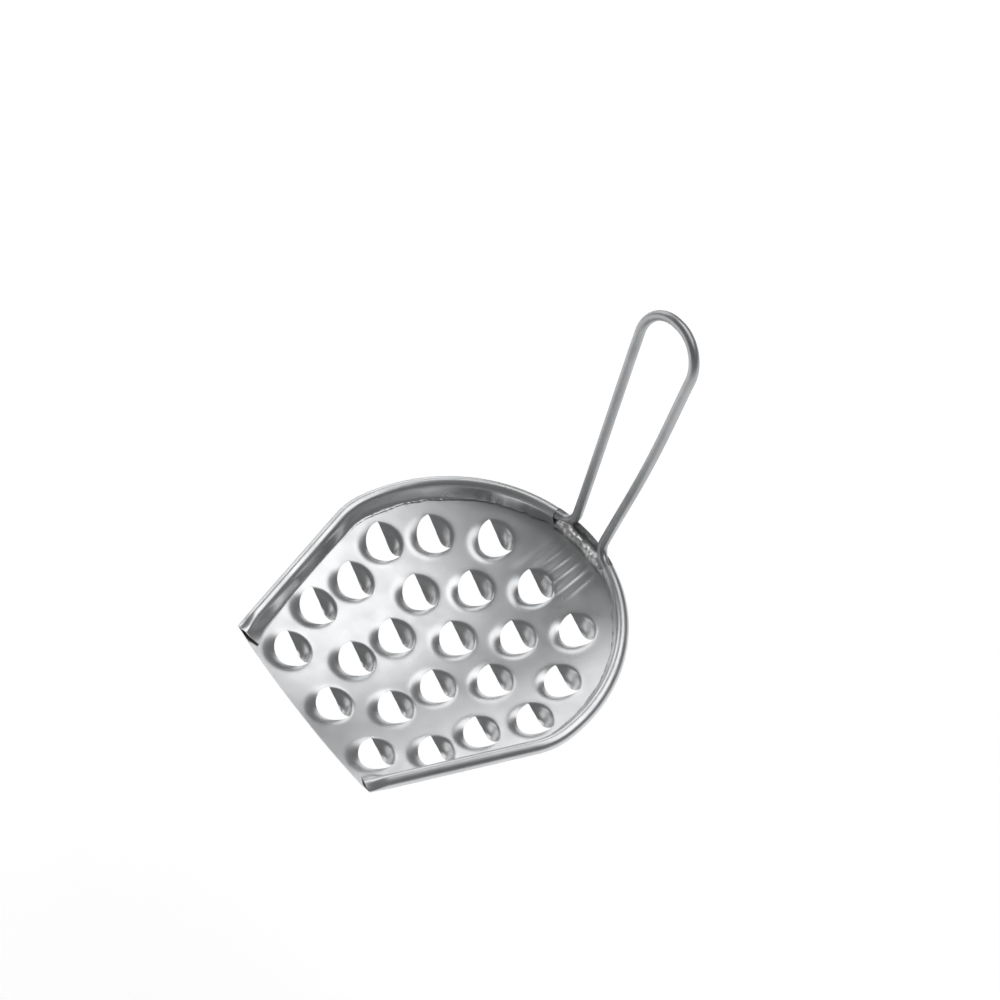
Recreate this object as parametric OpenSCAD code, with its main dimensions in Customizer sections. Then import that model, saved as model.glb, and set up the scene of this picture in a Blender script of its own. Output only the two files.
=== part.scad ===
// Wire-handled hand ricer: a dished, rimmed scoop of tinned sheet with coarse stamped teeth.
// The origin is the middle of the front edge, halfway through the sheet.
// +Y runs back to the handle and +Z is up, out of the bowl.

/* [Bowl] */
// Width over the rolled rim at the round back
bowl_width = 150; // [140:1:160]
// Width over the rim at the straight front edge
front_width = 97; // [92:1:102]
// From the front edge to the centre of the round back
front_reach = 72.5; // [70:0.5:76]
// How far each side leans out from front to back, degrees
side_flare = 20.6; // [20:0.2:21]
// From the lowest point of the floor up to the rim wire's centre
bowl_depth = 17.5; // [16:0.5:19]
// Radius of the floor's curve from side to side
curve_across = 188; // [170:1:210]
// Radius of the floor's curve from front to back
curve_along = 270; // [240:1:300]
// Radius of the bend where a straight side turns into the round back
shoulder_r = 30; // [28:1:34]
// Slope of the upturned edge below the rim, degrees
wall_slope = 60; // [56:1:64]
// Thickness of the sheet
sheet = 0.6; // [0.5:0.05:0.8]

/* [Rim] */
// Slope of the folded-over flap inside the rim, degrees
flap_slope = 68; // [64:1:72]
// Length of the flap's slope
flap_length = 7.4; // [7:0.1:8]
// Gap left round the wire inside the roll
roll_gap = 0.1; // [0.1:0.01:0.15]

/* [Wire] */
// Diameter of the one wire that stiffens the rim and makes the handle
wire_d = 4; // [3.6:0.1:4.4]
// Distance between the handle's legs at the rim
leg_gap = 17; // [15:0.5:20]
// Width of the handle's loop, wire centre to wire centre
loop_width = 34; // [30:1:38]
// Length of the handle from the rim to its top
loop_length = 119.5; // [100:0.5:130]
// Angle between the handle and the rim's plane, degrees
handle_lean = 70; // [60:1:80]
// Radius of the bends at the foot of the handle
elbow_r = 7; // [6:0.5:8]
// How far the wire stops short of the front edge
wire_setback = 8; // [4:1:16]

/* [Teeth] */
// Holes in each row, from the front
row_counts = [3, 4, 4, 5, 4, 3];
// Spacing of the holes along each row, from the front
row_spacings = [31, 29, 30.7, 27.3, 30.7, 29.2];
// From the front edge to the first row
first_row = 12.6; // [12.2:0.1:13]
// From one row to the next
row_pitch = 20.7; // [20:0.1:21]
// Radius of the circle where the sheet starts to turn down
tooth_r = 10.2; // [9.6:0.1:10.4]
// How far the tongue's dome would reach below the floor
tongue_depth = 5.6; // [4.5:0.1:6]
// How far the lip in front of the opening would reach below the floor
lip_depth = 2.2; // [1.6:0.1:2.6]
// Radius of the opening
opening_r = 8.7; // [8:0.1:8.8]
// From the tooth's centre back to the tongue's free edge
tongue_edge = 5; // [4.5:0.1:6]

/* [Hidden] */
wire_r = wire_d / 2;
// how far a joint between two swept stretches stands proud of them
joint_skin = 0.04;
// the slit that the punch leaves at each end of a tongue's free edge
shear = 0.5;
roll_r = wire_r + roll_gap + sheet;
rim_r = bowl_width / 2 - roll_r;
floor_z = sheet / 2 - sagitta(curve_along, front_reach);
rim_z = floor_z + bowl_depth;
// how far the straight side passes from the round back's centre
side_gap = front_width / 2 * cos(side_flare) - roll_r + front_reach * sin(side_flare);
// the shoulder bend touches the straight side and, from inside, the round back
shoulder_turn = acos((side_gap - shoulder_r) / (rim_r - shoulder_r));
back_start = shoulder_turn - side_flare;
shoulder = (rim_r - shoulder_r) * [cos(back_start), sin(back_start)];
side_start = shoulder + shoulder_r * [cos(side_flare), -sin(side_flare)];
side_length = (front_reach + side_start.y) / cos(side_flare);
// where the wire leaves the round back for the handle's leg, and where the hem stops short of it
elbow_reach = elbow_r * 1.1;
leg_angle = acos((leg_gap / 2 + elbow_reach) / rim_r);
hem_end = leg_angle - 1.5;

function sagitta(r, reach) = r - sqrt(r * r - reach * reach);
function dome_r(base, depth) = (base * base + depth * depth) / (2 * depth);
function on_back(angle, r = rim_r) = r * [cos(angle), sin(angle)];
// the corner that a bend of radius r, turning from one angle to another round a centre, rounds off
function bend_corner(centre, r, from, to) = centre + on_back((from + to) / 2, r / cos((to - from) / 2));
function lift(p, z = 0) = [p.x, p.y + front_reach, rim_z + z];
function flipped(points) = [for (i = [len(points) - 1:-1:0]) [-points[i].x, points[i].y, points[i].z]];
function reversed(list) = [for (i = [len(list) - 1:-1:0]) list[i]];

module both_sides() {
    children();
    mirror([1, 0, 0]) children();
}

// ---- bends and sweeps ----

// Moves its child's +Z onto the direction z and its +X onto x, at p.
module frame_at(p, x, z) {
    y = cross(z, x);
    multmatrix([[x.x, y.x, z.x, p.x], [x.y, y.y, z.y, p.y], [x.z, y.z, z.z, p.z], [0, 0, 0, 1]])
        children();
}

function unit(v) = v / norm(v);
// how much straight wire a bend of radius r takes up on each side of the corner b
function bend_reach(a, b, c, r) =
    let (turn = acos(unit(b - a) * unit(c - b))) r * tan(turn / 2);

// A hair-thin ring over the joint of a bend and a straight, so that they come out as one solid.
module sleeve(r) {
    translate([0, 0, -0.2])
        cylinder(h = 0.4, r = r + joint_skin, $fn = 96);
}

// Round wire through the corners, each rounded by its own bend radius.
module bent_wire(corners, bends, r) {
    last = len(corners) - 1;
    reach = [for (i = [0:last])
        i == 0 || i == last ? 0 : bend_reach(corners[i - 1], corners[i], corners[i + 1], bends[i])];
    for (i = [0:last - 1]) {
        a = corners[i];
        b = corners[i + 1];
        along = unit(b - a);
        straight = norm(b - a) - reach[i] - reach[i + 1];
        across = unit(cross(along, abs(along.z) < 0.9 ? [0, 0, 1] : [1, 0, 0]));
        frame_at(a + along * reach[i], across, along) {
            if (straight > 0.01)
                cylinder(h = straight, r = r, $fn = 96);
            if (i > 0)
                sleeve(r);
        }
        if (straight > 0.01 && i < last - 1)
            frame_at(b - along * reach[i + 1], across, along)
                sleeve(r);
    }
    for (i = [1:last - 1]) {
        into = unit(corners[i] - corners[i - 1]);
        out = unit(corners[i + 1] - corners[i]);
        normal = unit(cross(into, out));
        inward = cross(normal, into);
        start = corners[i] - into * reach[i];
        frame_at(start + inward * bends[i], -inward, normal)
            rotate_extrude(angle = acos(into * out), $fn = 256)
                translate([bends[i], 0])
                    circle(r = r, $fn = 96);
    }
}

// Moves its child, which lies in the plane of a profile, to where the rim stands at an angle on its back.
module at_rim(centre, r, angle) {
    translate(lift(centre))
        rotate([0, 0, angle])
            translate([r, 0, 0])
                rotate([90, 0, 0])
                    children();
}

// Sweeps a profile, drawn outward from the rim wire's centre, round the back of the rim.
module back_sweep(from, to) {
    translate(lift([0, 0]))
        rotate([0, 0, from])
            rotate_extrude(angle = to - from, $fn = 256)
                translate([rim_r, 0])
                    children();
}

// Sweeps the first profile along one shoulder and side; the second one, a hair larger, joins the stretches.
module side_sweep() {
    translate(lift(shoulder))
        rotate([0, 0, -side_flare])
            rotate_extrude(angle = shoulder_turn, $fn = 256)
                translate([shoulder_r, 0])
                    children(0);
    at_rim(shoulder, shoulder_r, -side_flare)
        linear_extrude(side_length + 8)
            children(0);
    at_rim([0, 0], rim_r, back_start)
        linear_extrude(0.4, center = true)
            children(1);
    at_rim(shoulder, shoulder_r, -side_flare)
        linear_extrude(0.4, center = true)
            children(1);
}

// ---- sheet ----

// The floor's plan: its back corners lie outside the rim, whose wall trims them.
module floor_plan() {
    edge_x = side_start.x - 0.2 / cos(side_flare);
    ahead = 5;
    front_x = edge_x - (front_reach + side_start.y + ahead) * tan(side_flare);
    back = [for (angle = [0:20:180]) on_back(angle, rim_r + 8) + [0, front_reach]];
    polygon(concat([[-front_x, -ahead], [front_x, -ahead]], back));
}

// Everything above the dished floor, whose surface is moved down by drop.
module above_floor(drop) {
    translate([0, front_reach, floor_z + curve_along])
        rotate([0, 90, 0])
            rotate([0, 0, -20])
                rotate_extrude(angle = 40, $fn = 256)
                    intersection() {
                        translate([curve_along - curve_across, 0])
                            circle(r = curve_across + drop, $fn = 256);
                        translate([curve_along - 60, -bowl_width / 2 - 8])
                            square([80, bowl_width + 16]);
                    }
}

// The upturned edge, from inside the floor up to the roll.
module wall_profile(grow = 0) {
    rotate(wall_slope)
        translate([-26, -roll_r - grow])
            square([25.1, sheet + 2 * grow]);
}

// The upturned edge with the roll round the wire, and the flap that folds back down inside the bowl.
module rim_profile(grow = 0) {
    difference() {
        union() {
            wall_profile(grow);
            circle(r = roll_r + grow, $fn = 96);
            rotate(flap_slope)
                translate([-flap_length, roll_r - sheet - grow])
                    square([flap_length - 0.9, sheet + 2 * grow]);
        }
        circle(r = wire_r + roll_gap - grow, $fn = 96);
    }
}

// Everything below and outside the middle of the wall's thickness.
module under_wall(grow = 0) {
    rotate(wall_slope)
        translate([-28, -roll_r - 30 + sheet / 2])
            square([44, 30 + grow]);
}

module dished_floor() {
    difference() {
        intersection() {
            above_floor(sheet);
            translate([0, 0, floor_z - 10])
                linear_extrude(60)
                    floor_plan();
        }
        above_floor(0);
        back_sweep(back_start, 180 - back_start)
            under_wall();
        both_sides()
            side_sweep() {
                under_wall();
                under_wall(joint_skin);
            }
    }
}

// The roll and its flap end on each side of the handle, where only the upturned edge goes on.
module rim() {
    both_sides()
        intersection() {
            union() {
                back_sweep(back_start, hem_end)
                    rim_profile();
                side_sweep() {
                    rim_profile();
                    rim_profile(joint_skin);
                }
            }
            above_floor(sheet);
        }
    intersection() {
        back_sweep(hem_end - 0.3, 180.3 - hem_end)
            wall_profile(joint_skin);
        above_floor(sheet + joint_skin / 2);
    }
}

// Moves its child to a point of the floor, with +Z along the floor's normal.
module on_floor(x, y) {
    along = asin((y - front_reach) / curve_along);
    across = asin(x / curve_across);
    translate([0, front_reach, floor_z + curve_along])
        rotate([along, 0, 0])
            translate([0, 0, curve_across - curve_along])
                rotate([0, -across, 0])
                    translate([0, 0, -curve_across])
                        children();
}

module at_teeth() {
    for (row = [0:len(row_counts) - 1])
        for (i = [0:row_counts[row] - 1])
            on_floor((i - (row_counts[row] - 1) / 2) * row_spacings[row], first_row + row * row_pitch)
                children();
}

// A dome pressed down from the floor, kept between two heights and behind a plane.
module pressed_dome(base, depth, grow, behind, bottom, top) {
    r = dome_r(base, depth);
    intersection() {
        translate([0, 0, r - depth])
            sphere(r = r + grow, $fn = 96);
        translate([-16, behind, bottom])
            cube([32, 40, top - bottom]);
    }
}

// The metal that a tooth adds: a shallow lip all round, and a deep tongue behind the opening.
module tooth_skin() {
    pressed_dome(tooth_r + 0.2, lip_depth, sheet, -20, -8, -0.1);
    pressed_dome(tooth_r, tongue_depth, sheet, tongue_edge, -8, -0.1);
}

// What a tooth cuts away: the inside of the lip and of the tongue, and the opening.
module tooth_cut() {
    pressed_dome(tooth_r + 0.2, lip_depth, 0, -20, -8, 1);
    pressed_dome(tooth_r, tongue_depth, 0, tongue_edge - shear, -8, 1);
    intersection() {
        translate([0, opening_r - 5.4, -12])
            cylinder(h = 14, r = opening_r, $fn = 96);
        translate([-16, -20, -13])
            cube([32, 20 + tongue_edge - shear / 2, 16]);
    }
}

module perforated_floor() {
    difference() {
        union() {
            dished_floor();
            at_teeth() tooth_skin();
        }
        at_teeth() tooth_cut();
    }
}

module sheet_scoop() {
    color("#c9cbcd")
        intersection() {
            union() {
                perforated_floor();
                rim();
            }
            translate([-bowl_width, 0, floor_z - 10])
                cube([bowl_width * 2, bowl_width * 2, 60]);
        }
}

// ---- wire ----

function leg_foot() = on_back(leg_angle) + elbow_reach * [-sin(leg_angle), cos(leg_angle)];
function loop_corner() =
    let (foot = leg_foot(), reach = loop_length)
        [loop_width / 2, foot.y + reach * cos(handle_lean), reach * sin(handle_lean)];

// Half of the wire's corners, from its front end to the top of the handle's loop.
half_path = [
    lift(side_start - (side_length - wire_setback) * [sin(side_flare), cos(side_flare)]),
    lift(bend_corner(shoulder, shoulder_r, -side_flare, back_start)),
    lift(bend_corner([0, 0], rim_r, back_start, leg_angle)),
    lift(leg_foot()),
    lift(loop_corner(), loop_corner().z)
];
half_bends = [0, shoulder_r, rim_r, elbow_r, loop_width / 2 * 0.9];

module wire_shape(r) {
    bent_wire(concat(half_path, flipped(half_path)), concat(half_bends, reversed(half_bends)), r);
}

module handle_wire() {
    color("#a7aaad") wire_shape(wire_r);
}

// Solder that fixes a foot of the handle to the back edge of the sheet.
module solder(side) {
    foot = leg_foot();
    color("#dcdddd")
        difference() {
            translate([side * (foot.x + 2.9), front_reach + foot.y - 2.7, rim_z - 1.1])
                rotate([0, 90, 0])
                    sphere(r = 3.4, $fn = 64);
            wire_shape(wire_r + 0.02);
            back_sweep(back_start, 180 - back_start)
                under_wall(sheet / 2 + 0.02);
            both_sides()
                back_sweep(back_start, hem_end + 0.4)
                    square(20, center = true);
        }
}

module solder_left() {
    solder(-1);
}

module solder_right() {
    solder(1);
}

sheet_scoop();
handle_wire();
solder_left();
solder_right();
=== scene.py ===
"""Looks of the wire-handled hand ricer: the pierced scoop of tinned sheet, its wire and its solder.
Sizes are in millimetres, in the CAD model's frame, until a mesh is made from them."""
import math

import bmesh
import bpy
import numpy as np
from mathutils import Matrix, Vector, noise
from mathutils.geometry import delaunay_2d_cdt


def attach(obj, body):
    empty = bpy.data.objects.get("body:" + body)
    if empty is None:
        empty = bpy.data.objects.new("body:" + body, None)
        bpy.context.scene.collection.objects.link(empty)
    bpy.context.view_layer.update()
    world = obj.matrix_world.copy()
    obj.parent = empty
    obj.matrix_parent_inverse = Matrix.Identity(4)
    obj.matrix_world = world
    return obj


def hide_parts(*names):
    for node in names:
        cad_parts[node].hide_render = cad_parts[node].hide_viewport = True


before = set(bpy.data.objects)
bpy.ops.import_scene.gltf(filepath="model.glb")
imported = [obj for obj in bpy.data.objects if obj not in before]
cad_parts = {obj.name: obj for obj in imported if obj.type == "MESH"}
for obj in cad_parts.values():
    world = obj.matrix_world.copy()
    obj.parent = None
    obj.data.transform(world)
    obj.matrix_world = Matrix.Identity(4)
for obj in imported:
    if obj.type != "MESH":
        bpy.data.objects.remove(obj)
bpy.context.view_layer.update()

MM = 0.001

# ---- sizes of the bowl and its rim ----
RIM_WIDTH = 150
FRONT_WIDTH = 97
REACH = 72.5                    # from the front edge to the centre of the round back
FLARE = math.radians(20.6)
SHOULDER_R = 30
BOWL_DEPTH = 17.5
ACROSS_R = 188
ALONG_R = 270
SHEET = 0.6
WIRE_R = 2.2
ROLL_R = WIRE_R + 0.1 + SHEET / 2       # to the middle of the sheet that is rolled round the wire
RIM_R = RIM_WIDTH / 2 - ROLL_R - SHEET / 2
FLOOR_Z = SHEET / 2 - (ALONG_R - math.sqrt(ALONG_R ** 2 - REACH ** 2))
RIM_Z = FLOOR_Z + BOWL_DEPTH
FLAP = 6.9                      # the flap's length from the roll to its free edge
FLAT_END = 9                    # the hem is hammered flat over this length at each front corner
FLAT_HEIGHT = 1.15              # half the flattened roll's height, to the middle of the sheet
WRINKLE_START = 8               # the hem is wrinkled from this far in front of the shoulder bend

# ---- sizes of the teeth ----
ROW_COUNTS = [3, 4, 4, 5, 4, 3]
ROW_SPACINGS = [31, 29, 30.7, 27.3, 30.7, 29.2]
FIRST_ROW = 12.6
ROW_PITCH = 20.7
TOOTH_R = 10.6
BEND_START = 11.3               # the sheet starts to turn down at this radius
LIP_R = 8.6                     # of the soft bend all round
BEND_R = 2.2                    # of the sharper bend at the foot of the tongue
TONGUE_SLOPE = math.radians(54)
TONGUE_REACH = 6                # from the foot of the tongue to the deepest part of its free edge
TONGUE_DEPTH = 4.4
OPENING_R = 8.9
OPENING_Y = 3.7
TONGUE_Y = 5

# ---- sizes of the wire's handle ----
LEG_GAP = 17
LOOP_WIDTH = 34
LOOP_LENGTH = 117.5
LOOP_SHIFT = -1.4               # the top of the loop leans to one side by this much
LEG_BOW = 1.6                   # the right leg is bent outwards by this much at half its height
LEAN = math.radians(70)
ELBOW_R = 7
WIRE_SETBACK = 9.5              # from the front edge back to the wire's end, inside the roll

SIDE_GAP = FRONT_WIDTH / 2 * math.cos(FLARE) - ROLL_R - SHEET / 2 + REACH * math.sin(FLARE)
SHOULDER_TURN = math.acos((SIDE_GAP - SHOULDER_R) / (RIM_R - SHOULDER_R))
BACK_START = SHOULDER_TURN - FLARE
ELBOW_REACH = ELBOW_R * 1.1
LEG_ANGLE = math.acos((LEG_GAP / 2 + ELBOW_REACH) / RIM_R)
HEM_END = LEG_ANGLE - math.radians(1.5)


def polar(angle, r=1.0):
    return np.array([r * math.cos(angle), r * math.sin(angle)])


SHOULDER = polar(BACK_START, RIM_R - SHOULDER_R)
SIDE_START = SHOULDER + polar(-FLARE, SHOULDER_R)
SIDE_LENGTH = (REACH + SIDE_START[1]) / math.cos(FLARE)
SHOULDER_LENGTH = SHOULDER_R * SHOULDER_TURN
HALF_RIM = SIDE_LENGTH + SHOULDER_LENGTH + RIM_R * (math.pi / 2 - BACK_START)
HEM_LENGTH = HALF_RIM - RIM_R * (math.pi / 2 - HEM_END)

TEETH = [
    ((i - (count - 1) / 2) * spacing, FIRST_ROW + row * ROW_PITCH)
    for row, (count, spacing) in enumerate(zip(ROW_COUNTS, ROW_SPACINGS))
    for i in range(count)
]


def smoothstep(t):
    t = np.clip(t, 0, 1)
    return t * t * (3 - 2 * t)


def wobble(x, y=0.0, z=0.0):
    """Smooth noise between about -1 and 1."""
    return noise.noise(Vector((x, y, z)))


# ---- the sheet's surface ----

def dish(x, y):
    """Height of the middle of the sheet, before any tooth is pressed in it."""
    inner = np.sqrt(ACROSS_R ** 2 - x * x) + ALONG_R - ACROSS_R
    return FLOOR_Z + ALONG_R - np.sqrt(inner ** 2 - (y - REACH) ** 2) - SHEET / 2


def lip_depth(r):
    """How far the sheet is pressed down by its soft bend, at a radius from a tooth's centre."""
    return LIP_R - np.sqrt(LIP_R ** 2 - np.maximum(BEND_START - r, 0) ** 2)


def tongue_depth(r):
    """How far the tongue's half dome lies below its foot, at a radius from the tooth's centre."""
    inside = max(0, TOOTH_R - r)
    turn = BEND_R * math.sin(TONGUE_SLOPE)
    if inside < turn:
        return BEND_R - math.sqrt(BEND_R ** 2 - inside ** 2)
    start = BEND_R * (1 - math.cos(TONGUE_SLOPE))
    rise = TONGUE_DEPTH - start
    steepness = math.tan(TONGUE_SLOPE) * (TONGUE_REACH - turn) / rise
    share = min(1, (inside - turn) / (TONGUE_REACH - turn))
    return start + rise * (1 - (1 - share) ** steepness)


# sideways place, front end and depth of each flute
FLUTES = [
    (-12.5, 114, 0.4),
    (-7.6, 117, 0.5),
    (-2.6, 119, 0.55),
    (2.4, 119, 0.55),
    (7.6, 116, 0.5),
    (12.4, 117, 0.3),
]
FLUTE_END = 141
FLUTE_HALF_WIDTH = 2.4


def flutes(x, y):
    """Depth of the long flutes that run from the handle towards the last row of teeth."""
    depth = np.zeros_like(x)
    for middle, start, deep in FLUTES:
        fan = middle * (1 - 0.006 * (y - 130))
        across = np.clip(np.abs(x - fan) / FLUTE_HALF_WIDTH, 0, 1)
        along = smoothstep((y - start) / 14) * smoothstep((FLUTE_END + 2 - y) / 9)
        depth += deep * along * np.cos(across * math.pi / 2) ** 2
    return depth


def floor_height(x, y):
    """The dished floor with its flutes and the start of each tooth's bend."""
    x, y = np.asarray(x, float), np.asarray(y, float)
    z = dish(x, y) - flutes(x, y)
    for cx, cy in TEETH:
        z -= lip_depth(np.maximum(np.hypot(x - cx, y - cy), TOOTH_R))
    return z


# ---- the rim's path ----

def rim_half(s):
    """Point, outward direction and forward direction of the rim, at a distance from its right corner."""
    if s < SIDE_LENGTH:
        out, along = polar(-FLARE), np.array([math.sin(FLARE), math.cos(FLARE)])
        point = SIDE_START - (SIDE_LENGTH - s) * along
    elif s < SIDE_LENGTH + SHOULDER_LENGTH:
        angle = (s - SIDE_LENGTH) / SHOULDER_R - FLARE
        out, along = polar(angle), polar(angle + math.pi / 2)
        point = SHOULDER + SHOULDER_R * out
    else:
        angle = (s - SIDE_LENGTH - SHOULDER_LENGTH) / RIM_R + BACK_START
        out, along = polar(angle), polar(angle + math.pi / 2)
        point = RIM_R * out
    return point + [0, REACH], out, along


def rim_at(s):
    """The point, two outward directions and the distance from the nearest front corner, for distances from
    the right front corner round to the left one. The first outward direction is turned near the front
    corners so that the sheet ends flush with the front edge, and the second is square to the rim."""
    near = min(s, 2 * HALF_RIM - s)
    point, square, along = rim_half(near)
    out = square + along * math.tan(FLARE) * (1 - smoothstep(near / 25))
    if s > HALF_RIM:
        point, out, square = point * [-1, 1], out * [-1, 1], square * [-1, 1]
    return point, out, square, near


def tangent_angle(point, radius, side):
    """Where the line from a point touches a circle round the origin, on its left or right side."""
    away = math.hypot(*point)
    return math.atan2(point[1], point[0]) % (2 * math.pi) + side * math.acos(min(1, radius / away))


class Hem:
    """One station of the rim: its wall, its roll and its flap, in the plane across the rim.
    Points across the rim are (u, v): u outwards from the wire's middle, v up from the rim's plane."""

    WALL, ROLL, TAIL = 6, 22, 14

    def __init__(self, s):
        self.point, self.out, self.square, self.near = rim_at(s)
        self.s = s
        flat = smoothstep(self.near / FLAT_END)
        self.height = FLAT_HEIGHT + (ROLL_R - FLAT_HEIGHT) * flat
        below = self.drop(0)
        self.lift = max(0, below + self.height)
        self.stretch = ROLL_R / self.height
        bent = smoothstep((self.near - SIDE_LENGTH + WRINKLE_START) / 12)
        ragged = 0.35 * wobble(s / 1.5, 3.1) + 0.5 * wobble(s / 5, 7.7)
        self.length = FLAP + (1 - flat) * 1.6 + bent * ragged + 0.25 * wobble(s / 11, 5.0)
        self.gap = 0.1 + 0.25 * bent
        self.crumple = bent
        self.end = self.flap_end()
        room = min(math.hypot(*(self.point - tooth)) for tooth in TEETH) - TOOTH_R - 0.5
        self.flare = 0.5 * max(0, -self.end[0] - 2.2)
        self.inset = max(0.3, min(room, 5, -self.end[0] - self.flare - 0.9))
        start = self.squashed((-self.inset, self.drop(self.inset)))
        self.wall_angle = tangent_angle(start, ROLL_R, 1)
        self.knee = self.end[0] + self.flare, self.end[1] + 0.25 * self.flare
        self.flap_angle = tangent_angle(self.squashed(self.knee), ROLL_R, -1)

    def drop(self, inset):
        """Height of the floor, from the rim's plane, at a distance inside the rim."""
        x, y = self.point - self.out * inset
        return float(dish(x, y)) - RIM_Z

    def squashed(self, point):
        """A point across the rim, in the space where the roll is round and centred."""
        return point[0], (point[1] - self.lift) * self.stretch

    def flap_end(self):
        """The flap's free edge: on the floor, or hanging just inside the wall where the bowl is too deep."""
        reach = math.hypot(self.length, ROLL_R)
        inset = 5.0
        for _ in range(8):
            height = self.drop(inset) + SHEET + self.gap
            inset = math.sqrt(max(reach ** 2 - (height - self.lift) ** 2, 1.9 ** 2))
        low = self.lift - math.sqrt(reach ** 2 - inset ** 2)
        return -inset, max(low, height)

    def on_roll(self, angle):
        return ROLL_R * math.cos(angle), self.lift + self.height * math.sin(angle)

    def wall(self):
        foot = np.array([-self.inset, self.drop(self.inset)])
        top = np.array(self.on_roll(self.wall_angle))
        return [foot + (top - foot) * i / self.WALL for i in range(self.WALL + 1)]

    def roll(self):
        first, last = self.wall_angle, self.flap_angle + 2 * math.pi
        return [self.on_roll(first + (last - first) * i / self.ROLL) for i in range(1, self.ROLL + 1)]

    def cut_roll(self):
        """The lower half of the roll, which is all that is left of it between the handle's legs."""
        first, last = self.wall_angle, 2 * math.pi + 0.5
        return [self.on_roll(first + (last - first) * i / 8) for i in range(1, 9)]

    def flap(self):
        top = np.array(self.on_roll(self.flap_angle))
        knee, end = np.array(self.knee), np.array(self.end)
        along = (end - top) / np.linalg.norm(end - top)
        normal = np.array([along[1], -along[0]])
        to_leg = HEM_LENGTH - self.near
        points = []
        for i in range(1, self.TAIL + 1):
            t = i / self.TAIL
            pleat = 0.22 * wobble(self.s / 1.3, t * 1.2) + 0.2 * wobble(self.s / 3.4, 2 + t)
            lift = self.crumple * pleat * t ** 1.5
            lift += smoothstep(1 - to_leg / 9) * t * (0.9 + 0.7 * wobble(self.s / 2.2, 9.0))
            curve = (1 - t) ** 2 * top + 2 * t * (1 - t) * knee + t * t * end
            points.append(curve - normal * lift)
        return points

    def place(self, points, square=False):
        """Points across the rim in the part's frame. Where square is set, what lies inside the rim's path
        is placed square to it."""
        return [
            (*(self.point + (self.square if square and u < 0 else self.out) * u), RIM_Z + v)
            for u, v in points
        ]


def rim_stations():
    """Distances along the rim, closer together than its wrinkles, that include both ends of each hem."""
    step = 0.75
    half = [
        *np.linspace(0, HEM_LENGTH, round(HEM_LENGTH / step)),
        *np.linspace(HEM_LENGTH, HALF_RIM, 15)[1:],
    ]
    return half + [2 * HALF_RIM - s for s in reversed(half[:-1])]


# ---- meshes ----

class Shell:
    """Collects points in millimetres and faces; shared points are merged when the mesh is made."""

    def __init__(self):
        self.points, self.faces = [], []

    def grid(self, rows, flip=False):
        """Quads between neighbouring rows of points."""
        base = len(self.points)
        width = len(rows[0])
        for row in rows:
            self.points.extend(tuple(map(float, p)) for p in row)
        for i in range(len(rows) - 1):
            for j in range(width - 1):
                a = base + i * width + j
                face = (a, a + 1, a + 1 + width, a + width)
                self.faces.append(face[::-1] if flip else face)

    def triangles(self, points, faces):
        base = len(self.points)
        self.points.extend(tuple(map(float, p)) for p in points)
        self.faces.extend(tuple(base + i for i in face) for face in faces)

    def mesh(self, name, merge=0.012):
        mesh = bpy.data.meshes.new(name)
        bm = bmesh.new()
        verts = [bm.verts.new(Vector(p) * MM) for p in self.points]
        for face in self.faces:
            bm.faces.new([verts[i] for i in face])
        bmesh.ops.remove_doubles(bm, verts=bm.verts, dist=merge * MM)
        bmesh.ops.dissolve_degenerate(bm, edges=bm.edges, dist=0.002 * MM)
        bmesh.ops.recalc_face_normals(bm, faces=bm.faces)
        bm.to_mesh(mesh)
        bm.free()
        return mesh


def add_object(name, mesh):
    obj = bpy.data.objects.new(name, mesh)
    bpy.context.scene.collection.objects.link(obj)
    return obj


def bake_modifiers(obj, sharp=40):
    """Replaces the mesh by what its modifiers make of it, smooth except at its sharp edges."""
    bpy.context.view_layer.update()
    made = bpy.data.meshes.new_from_object(obj.evaluated_get(bpy.context.evaluated_depsgraph_get()))
    obj.modifiers.clear()
    obj.data = made
    made.polygons.foreach_set("use_smooth", [True] * len(made.polygons))
    made.set_sharp_from_angle(angle=math.radians(sharp))


def inside_polygon(points, polygon):
    """Which points lie inside a closed polygon."""
    x, y = points[:, 0], points[:, 1]
    inside = np.zeros(len(points), bool)
    for (ax, ay), (bx, by) in zip(polygon, np.roll(polygon, -1, axis=0)):
        if ay == by:
            continue
        crosses = (ay > y) != (by > y)
        inside ^= crosses & (x < ax + (y - ay) * (bx - ax) / (by - ay))
    return inside


TONGUE_HALF = math.asin(TONGUE_Y / TOOTH_R)


def ring_angles():
    """Angles round a tooth: first along its lip, then along its tongue, counter-clockwise."""
    lip = np.linspace(math.pi - TONGUE_HALF, 2 * math.pi + TONGUE_HALF, 49)
    tongue = np.linspace(TONGUE_HALF, math.pi - TONGUE_HALF, 25)
    return lip, tongue


def ring_points(cx, cy, r=TOOTH_R):
    lip, tongue = ring_angles()
    return [(cx + r * math.cos(a), cy + r * math.sin(a)) for a in [*lip[:-1], *tongue[:-1]]]


def opening_point(angle):
    """The edge of the opening in a direction from the tooth's centre."""
    c, s = math.cos(angle), math.sin(angle)
    b = OPENING_Y * s
    return b + math.sqrt(b * b - OPENING_Y ** 2 + OPENING_R ** 2)


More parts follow.
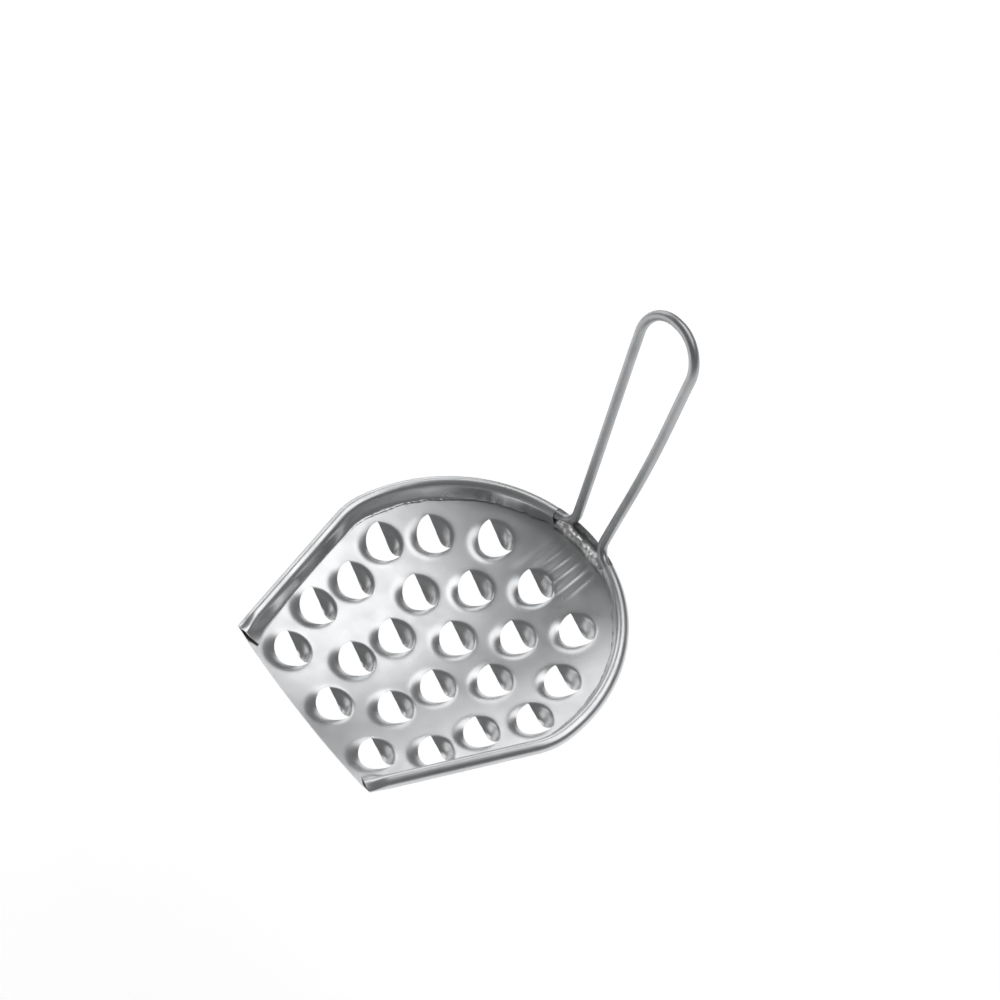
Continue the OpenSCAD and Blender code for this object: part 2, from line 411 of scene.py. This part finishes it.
def tooth_lip(shell, cx, cy):
    """The lip round the opening, turned down all along its edge."""
    lip, _ = ring_angles()
    corner = math.atan2(TONGUE_Y, math.sqrt(OPENING_R ** 2 - (TONGUE_Y - OPENING_Y) ** 2))
    edge = np.linspace(math.pi - corner, 2 * math.pi + corner, len(lip))
    rows = []
    for k in range(9):
        t = k / 8
        row = []
        for a, e in zip(lip, edge):
            outer = np.array([TOOTH_R * math.cos(a), TOOTH_R * math.sin(a)])
            inner = opening_point(e) * polar(e)
            x, y = outer + (inner - outer) * t
            r = math.hypot(x, y)
            base = float(floor_height(cx + x, cy + y))
            row.append((cx + x, cy + y, base + float(lip_depth(TOOTH_R) - lip_depth(r))))
        rows.append(row)
    shell.grid(rows)


def tooth_tongue(shell, cx, cy):
    """The half dome behind the opening, whose free edge grates."""
    _, tongue = ring_angles()
    half = TOOTH_R * math.cos(TONGUE_HALF)
    rows = []
    for k in range(13):
        t = k / 12
        row = []
        for a in tongue:
            outer = np.array([TOOTH_R * math.cos(a), TOOTH_R * math.sin(a)])
            across = outer[0] / half
            bulge = 0.3 - 1.3 * smoothstep((across + 0.5) / 0.8)
            edge = np.array([half * across * 0.985, TONGUE_Y + bulge * (1 - across ** 12)])
            x, y = outer + (edge - outer) * t
            r = math.hypot(x, y)
            base = float(floor_height(cx + x, cy + y))
            row.append((cx + x, cy + y, base - tongue_depth(r)))
        rows.append(row)
    shell.grid(rows)


def floor_between_teeth(shell, border):
    """The floor inside its border and outside the teeth's rings, as triangles of even size."""
    points = [tuple(p) for p in border]
    edges = [(i, (i + 1) % len(border)) for i in range(len(border))]
    for cx, cy in TEETH:
        ring = ring_points(cx, cy)
        base = len(points)
        points += ring
        edges += [(base + i, base + (i + 1) % len(ring)) for i in range(len(ring))]
    for cx, cy in TEETH:
        points += ring_points(cx, cy, BEND_START + 0.1)
    loose = []
    pitch = 1.1
    for j in range(int(160 / (pitch * 0.866))):
        for i in range(int(160 / pitch) + 1):
            loose.append((-80 + (i + 0.5 * (j % 2)) * pitch, j * pitch * 0.866 + 0.7))
    loose = np.array(loose)
    border_points = np.array(border)
    keep = inside_polygon(loose, border_points)
    for cx, cy in TEETH:
        keep &= np.hypot(loose[:, 0] - cx, loose[:, 1] - cy) > BEND_START + 0.8
    loose = loose[keep]
    gap = np.min(np.hypot(*(loose[:, None, :] - border_points[None]).transpose(2, 0, 1)), axis=1)
    points += [tuple(p) for p in loose[gap > 0.6]]
    coords, _, faces, _, _, _ = delaunay_2d_cdt([Vector(p) for p in points], edges, [], 0, 1e-5)
    coords = np.array([tuple(c) for c in coords])
    middles = np.array([coords[list(f)].mean(0) for f in faces])
    wanted = inside_polygon(middles, border_points)
    for cx, cy in TEETH:
        wanted &= np.hypot(middles[:, 0] - cx, middles[:, 1] - cy) > TOOTH_R - 0.02
    heights = floor_height(coords[:, 0], coords[:, 1])
    shell.triangles(np.column_stack([coords, heights]), [f for f, w in zip(faces, wanted) if w])


def make_scoop():
    """The whole sheet: floor, teeth, wall, roll and flap, in one skin given its thickness at the end."""
    shell = Shell()
    hems = [Hem(s) for s in rim_stations()]
    foot = [hem.place([(-hem.inset, 0)])[0][:2] for hem in hems]
    front = [(x, 0.0) for x in np.linspace(foot[-1][0], foot[0][0], 80)[1:-1]]
    floor_between_teeth(shell, foot + front)
    for cx, cy in TEETH:
        tooth_lip(shell, cx, cy)
        tooth_tongue(shell, cx, cy)
    walls = [hem.place(hem.wall()) for hem in hems]
    for hem, row in zip(hems, walls):
        row[0] = (*row[0][:2], float(floor_height(*row[0][:2])))
    shell.grid(walls)
    for side in (hems[: len(hems) // 2 + 1], hems[len(hems) // 2:]):
        hem_part = [h for h in side if h.near <= HEM_LENGTH + 1e-6]
        shell.grid([h.place([h.on_roll(h.wall_angle), *h.roll(), *h.flap()], True) for h in hem_part])
    gap = [h for h in hems if h.near >= HEM_LENGTH - 1e-6]
    shell.grid([h.place([h.on_roll(h.wall_angle), *h.cut_roll()], True) for h in gap])
    obj = add_object("pierced_scoop", shell.mesh("pierced_scoop"))
    thick = obj.modifiers.new("thickness", "SOLIDIFY")
    thick.thickness = SHEET * MM
    thick.offset = 0
    bake_modifiers(obj)
    return obj


# ---- wire ----

def lifted(p, z=0.0):
    return np.array([p[0], p[1] + REACH, RIM_Z + z])


def bend_corner(centre, r, start, end):
    return centre + polar((start + end) / 2, r / math.cos((end - start) / 2))


def wire_corners():
    """Half of the wire's corners and the radius of the bend at each, from the front to the handle's top."""
    start = SIDE_START - (SIDE_LENGTH - WIRE_SETBACK) * np.array([math.sin(FLARE), math.cos(FLARE)])
    foot = polar(LEG_ANGLE, RIM_R) + ELBOW_REACH * polar(LEG_ANGLE + math.pi / 2)
    top = (LOOP_WIDTH / 2, foot[1] + LOOP_LENGTH * math.cos(LEAN))
    corners = [
        lifted(start),
        lifted(bend_corner(SHOULDER, SHOULDER_R, -FLARE, BACK_START)),
        lifted(bend_corner(np.zeros(2), RIM_R, BACK_START, LEG_ANGLE)),
        lifted(foot),
        lifted(top, LOOP_LENGTH * math.sin(LEAN)),
    ]
    return corners, [0, SHOULDER_R, RIM_R, ELBOW_R, LOOP_WIDTH / 2 * 0.9]


def rounded_path(corners, bends, step=0.9):
    """Points along a path whose corners are rounded."""
    path = [corners[0]]
    for before, corner, after, r in zip(corners, corners[1:], corners[2:], bends[1:]):
        into = (corner - before) / np.linalg.norm(corner - before)
        out = (after - corner) / np.linalg.norm(after - corner)
        turn = math.acos(np.clip(into @ out, -1, 1))
        reach = r * math.tan(turn / 2)
        inward = out - into * (into @ out)
        inward /= np.linalg.norm(inward)
        start = corner - into * reach
        count = max(4, round(r * turn / step))
        for i in range(count + 1):
            a = turn * i / count
            path.append(start + into * r * math.sin(a) + inward * r * (1 - math.cos(a)))
    path.append(corners[-1])
    even = [path[0]]
    for p in path[1:]:
        gap = np.linalg.norm(p - even[-1])
        if gap < 0.05:
            continue
        parts = max(1, round(gap / 2.5))
        even += [even[-1] + (p - even[-1]) * (i + 1) / parts for i in range(parts)]
    return even


def tube(shell, path, radius, sides=40):
    """A round tube along a path, with slightly rounded ends."""
    path = np.array(path)
    along = np.gradient(path, axis=0)
    along /= np.linalg.norm(along, axis=1)[:, None]
    across = np.cross(along[0], [0, 0, 1])
    rows = []
    for p, t in zip(path, along):
        across -= t * (across @ t)
        across /= np.linalg.norm(across)
        up = np.cross(t, across)
        rows.append((p, t, across.copy(), up))

    def ring(p, a, b, r):
        angles = np.linspace(0, 2 * math.pi, sides + 1)
        return [p + r * (math.cos(w) * a + math.sin(w) * b) for w in angles]

    first, last = rows[0], rows[-1]
    caps = [(0.0, 0.5), (0.62, 0.36), (0.86, 0.15)]
    grid = [ring(first[0] - first[1] * 0.5, first[2], first[3], 0.01)]
    for share, back in caps[1:]:
        grid.append(ring(first[0] - first[1] * back, first[2], first[3], radius * share))
    grid += [ring(p, a, b, radius) for p, _, a, b in rows]
    for share, back in caps[:0:-1]:
        grid.append(ring(last[0] + last[1] * back, last[2], last[3], radius * share))
    grid += [ring(last[0] + last[1] * 0.5, last[2], last[3], 0.01)]
    shell.grid(grid)


def make_wire():
    corners, bends = wire_corners()
    whole = corners + [c * [-1, 1, 1] for c in reversed(corners)]
    path = rounded_path(whole, bends + bends[::-1])
    top = RIM_Z + LOOP_LENGTH * math.sin(LEAN)
    for p in path:
        up = np.clip((p[2] - RIM_Z) / (top - RIM_Z), 0, 1)
        p[0] += LOOP_SHIFT * smoothstep(up)
        if p[0] > 0:
            p[0] += LEG_BOW * math.sin(math.pi * up) ** 2
    shell = Shell()
    tube(shell, path, WIRE_R)
    obj = add_object("handle_loop", shell.mesh("handle_loop"))
    bake_modifiers(obj)
    return obj


# ---- solder ----

def make_solder(name, side):
    """Solder run round a foot of the handle and along the sheet beside it. Each lump is a ball at
    (sideways, forward, up) from the foot, with its radius."""
    foot = polar(LEG_ANGLE, RIM_R) + ELBOW_REACH * polar(LEG_ANGLE + math.pi / 2)
    lumps = [
        (2.6, -1.8, -1.4, 3.0),
        (0.0, -2.4, -2.0, 2.7),
        (-2.6, -2.2, -2.3, 2.4),
        (-5.0, -1.9, -2.3, 2.2),
        (-7.0, -1.6, -2.4, 1.9),
        (4.8, -2.8, -1.2, 2.0),
    ]
    bm = bmesh.new()
    for dx, dy, dz, r in lumps:
        x = side * (foot[0] + dx)
        y = REACH + foot[1] + dy
        lump = bmesh.ops.create_icosphere(bm, subdivisions=3, radius=r * MM)
        bmesh.ops.translate(bm, verts=lump["verts"], vec=Vector((x, y, RIM_Z + dz)) * MM)
    mesh = bpy.data.meshes.new(name)
    bm.to_mesh(mesh)
    bm.free()
    obj = add_object(name, mesh)
    blend = obj.modifiers.new("blend", "REMESH")
    blend.mode = "VOXEL"
    blend.voxel_size = 0.25 * MM
    relax = obj.modifiers.new("relax", "SMOOTH")
    relax.iterations = 25
    bake_modifiers(obj, 60)
    for v in obj.data.vertices:
        p = v.co / MM
        v.co += v.normal * MM * 0.3 * wobble(*(p / 2.8))
    return obj


# ---- materials ----

class Nodes:
    """A material's nodes, made with one call each."""

    def __init__(self, name):
        self.material = bpy.data.materials.new(name)
        self.material.use_nodes = True
        self.tree = self.material.node_tree
        self.shader = self.tree.nodes["Principled BSDF"]
        self.coordinates = self.add("ShaderNodeTexCoord").outputs["Object"]

    def add(self, kind, **values):
        node = self.tree.nodes.new(kind)
        for key, value in values.items():
            if hasattr(node, key):
                setattr(node, key, value)
            else:
                node.inputs[key].default_value = value
        return node

    def link(self, out, into):
        self.tree.links.new(out, into)

    def noise(self, scale, detail=4.0, stretch=None):
        node = self.add("ShaderNodeTexNoise", Scale=scale, Detail=detail)
        source = self.coordinates
        if stretch:
            mapping = self.add("ShaderNodeMapping", Scale=stretch)
            self.link(source, mapping.inputs["Vector"])
            source = mapping.outputs["Vector"]
        self.link(source, node.inputs["Vector"])
        return node.outputs["Fac"]

    def ramp(self, source, low, high, low_at=0.3, high_at=0.7):
        node = self.add("ShaderNodeMapRange")
        self.link(source, node.inputs["Value"])
        limits = {"From Min": low_at, "From Max": high_at, "To Min": low, "To Max": high}
        for key, value in limits.items():
            node.inputs[key].default_value = value
        return node.outputs["Result"]

    def mix(self, share, a, b):
        node = self.add("ShaderNodeMix", data_type="RGBA")
        node.inputs["A"].default_value = (*a, 1)
        node.inputs["B"].default_value = (*b, 1)
        self.link(share, node.inputs["Factor"])
        return node.outputs["Result"]

    def bump(self, *layers):
        """Bump from (height, strength, distance) layers, one on top of the other."""
        below = None
        for height, strength, distance in layers:
            node = self.add("ShaderNodeBump", Strength=strength, Distance=distance)
            self.link(height, node.inputs["Height"])
            if below:
                self.link(below, node.inputs["Normal"])
            below = node.outputs["Normal"]
        self.link(below, self.shader.inputs["Normal"])


def metal(name, dark, light, rough, patches, grain, grain_depth, stretch=None):
    """A grey metal with cloudy patches of colour and roughness, and a fine grain."""
    m = Nodes(name)
    m.shader.inputs["Metallic"].default_value = 1
    cloud = m.noise(patches, 5)
    m.link(m.mix(m.ramp(cloud, 0, 1), dark, light), m.shader.inputs["Base Color"])
    m.link(m.ramp(m.noise(patches * 2.3, 3), rough[0], rough[1]), m.shader.inputs["Roughness"])
    fine = (m.noise(grain, 3, stretch), 0.25, grain_depth * MM)
    coarse = (m.noise(grain / 6, 2), 0.12, 4 * grain_depth * MM)
    m.bump(fine, coarse)
    return m.material


def tinned_sheet():
    return metal("tinned_sheet", (0.60, 0.61, 0.62), (0.72, 0.73, 0.74), (0.27, 0.36), 45, 1800, 0.02)


def steel_wire():
    return metal("steel_wire", (0.42, 0.43, 0.44), (0.50, 0.51, 0.52), (0.34, 0.44), 60, 1500, 0.02)


def solder():
    return metal("solder", (0.70, 0.70, 0.70), (0.86, 0.86, 0.85), (0.34, 0.46), 200, 900, 0.02)


# ---- stage ----

def make_camera():
    right = Vector((0.59149, 0.80605, 0.02064))
    back = Vector((0.47556, -0.36942, 0.79836)).normalized()
    up = back.cross(right).normalized()
    right = up.cross(back)
    data = bpy.data.cameras.new("camera")
    data.lens = 81
    data.sensor_width = 36
    data.clip_end = 20
    camera = bpy.data.objects.new("camera", data)
    bpy.context.scene.collection.objects.link(camera)
    turn = Matrix((right, up, back)).transposed().to_4x4()
    camera.matrix_world = Matrix.Translation(Vector((424.61, -232.53, 784.63)) * MM) @ turn
    bpy.context.scene.camera = camera


def make_floor():
    size = 8
    mesh = bpy.data.meshes.new("studio_floor")
    corners = [(-size, -size, 0), (size, -size, 0), (size, size, 0), (-size, size, 0)]
    mesh.from_pydata(corners, [], [(0, 1, 2, 3)])
    floor = add_object("studio_floor", mesh)
    floor.location = (0, 0.07, -0.30)
    m = Nodes("studio_floor")
    m.shader.inputs["Roughness"].default_value = 0.9
    m.shader.inputs["Base Color"].default_value = (0.9, 0.9, 0.9, 1)
    m.shader.inputs["Emission Color"].default_value = (1, 1, 1, 1)
    m.shader.inputs["Emission Strength"].default_value = 0.6
    mesh.materials.append(m.material)


def softbox(name, towards, distance, width, height, power):
    """An area light that looks back at the bowl from a direction."""
    data = bpy.data.lights.new(name, "AREA")
    data.shape = "RECTANGLE"
    data.size, data.size_y = width, height
    data.energy = power
    light = bpy.data.objects.new(name, data)
    bpy.context.scene.collection.objects.link(light)
    direction = Vector(towards).normalized()
    light.location = Vector((0, 0.08, 0.02)) + direction * distance
    light.rotation_mode = "QUATERNION"
    light.rotation_quaternion = direction.to_track_quat("Z", "Y")


def make_light():
    world = bpy.data.worlds.new("studio")
    world.use_nodes = True
    background = world.node_tree.nodes["Background"]
    background.inputs["Color"].default_value = (1, 1, 1, 1)
    background.inputs["Strength"].default_value = 0.17
    bpy.context.scene.world = world
    softbox("back_softbox", (0.05, 0.46, 0.89), 1.6, 2.0, 0.9, 8.6)
    softbox("left_softbox", (-0.92, 0.22, 0.40), 1.6, 1.5, 1.0, 5.6)
    softbox("front_fill", (-0.55, -0.8, 0.15), 1.8, 1.2, 0.8, 2.6)


def finish_piece(obj, slot, material, *nodes):
    obj.data.materials.clear()
    obj.data.materials.append(material)
    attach(obj, "root")
    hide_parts(*nodes)


finish_piece(make_scoop(), "tinned_sheet", tinned_sheet(), "sheet_scoop")
finish_piece(make_wire(), "steel_wire", steel_wire(), "handle_wire")
solder_finish = solder()
finish_piece(make_solder("solder_run_left", -1), "solder", solder_finish, "solder_left")
finish_piece(make_solder("solder_run_right", 1), "solder", solder_finish, "solder_right")

make_camera()
make_floor()
make_light()
bpy.context.scene.view_settings.view_transform = "Standard"
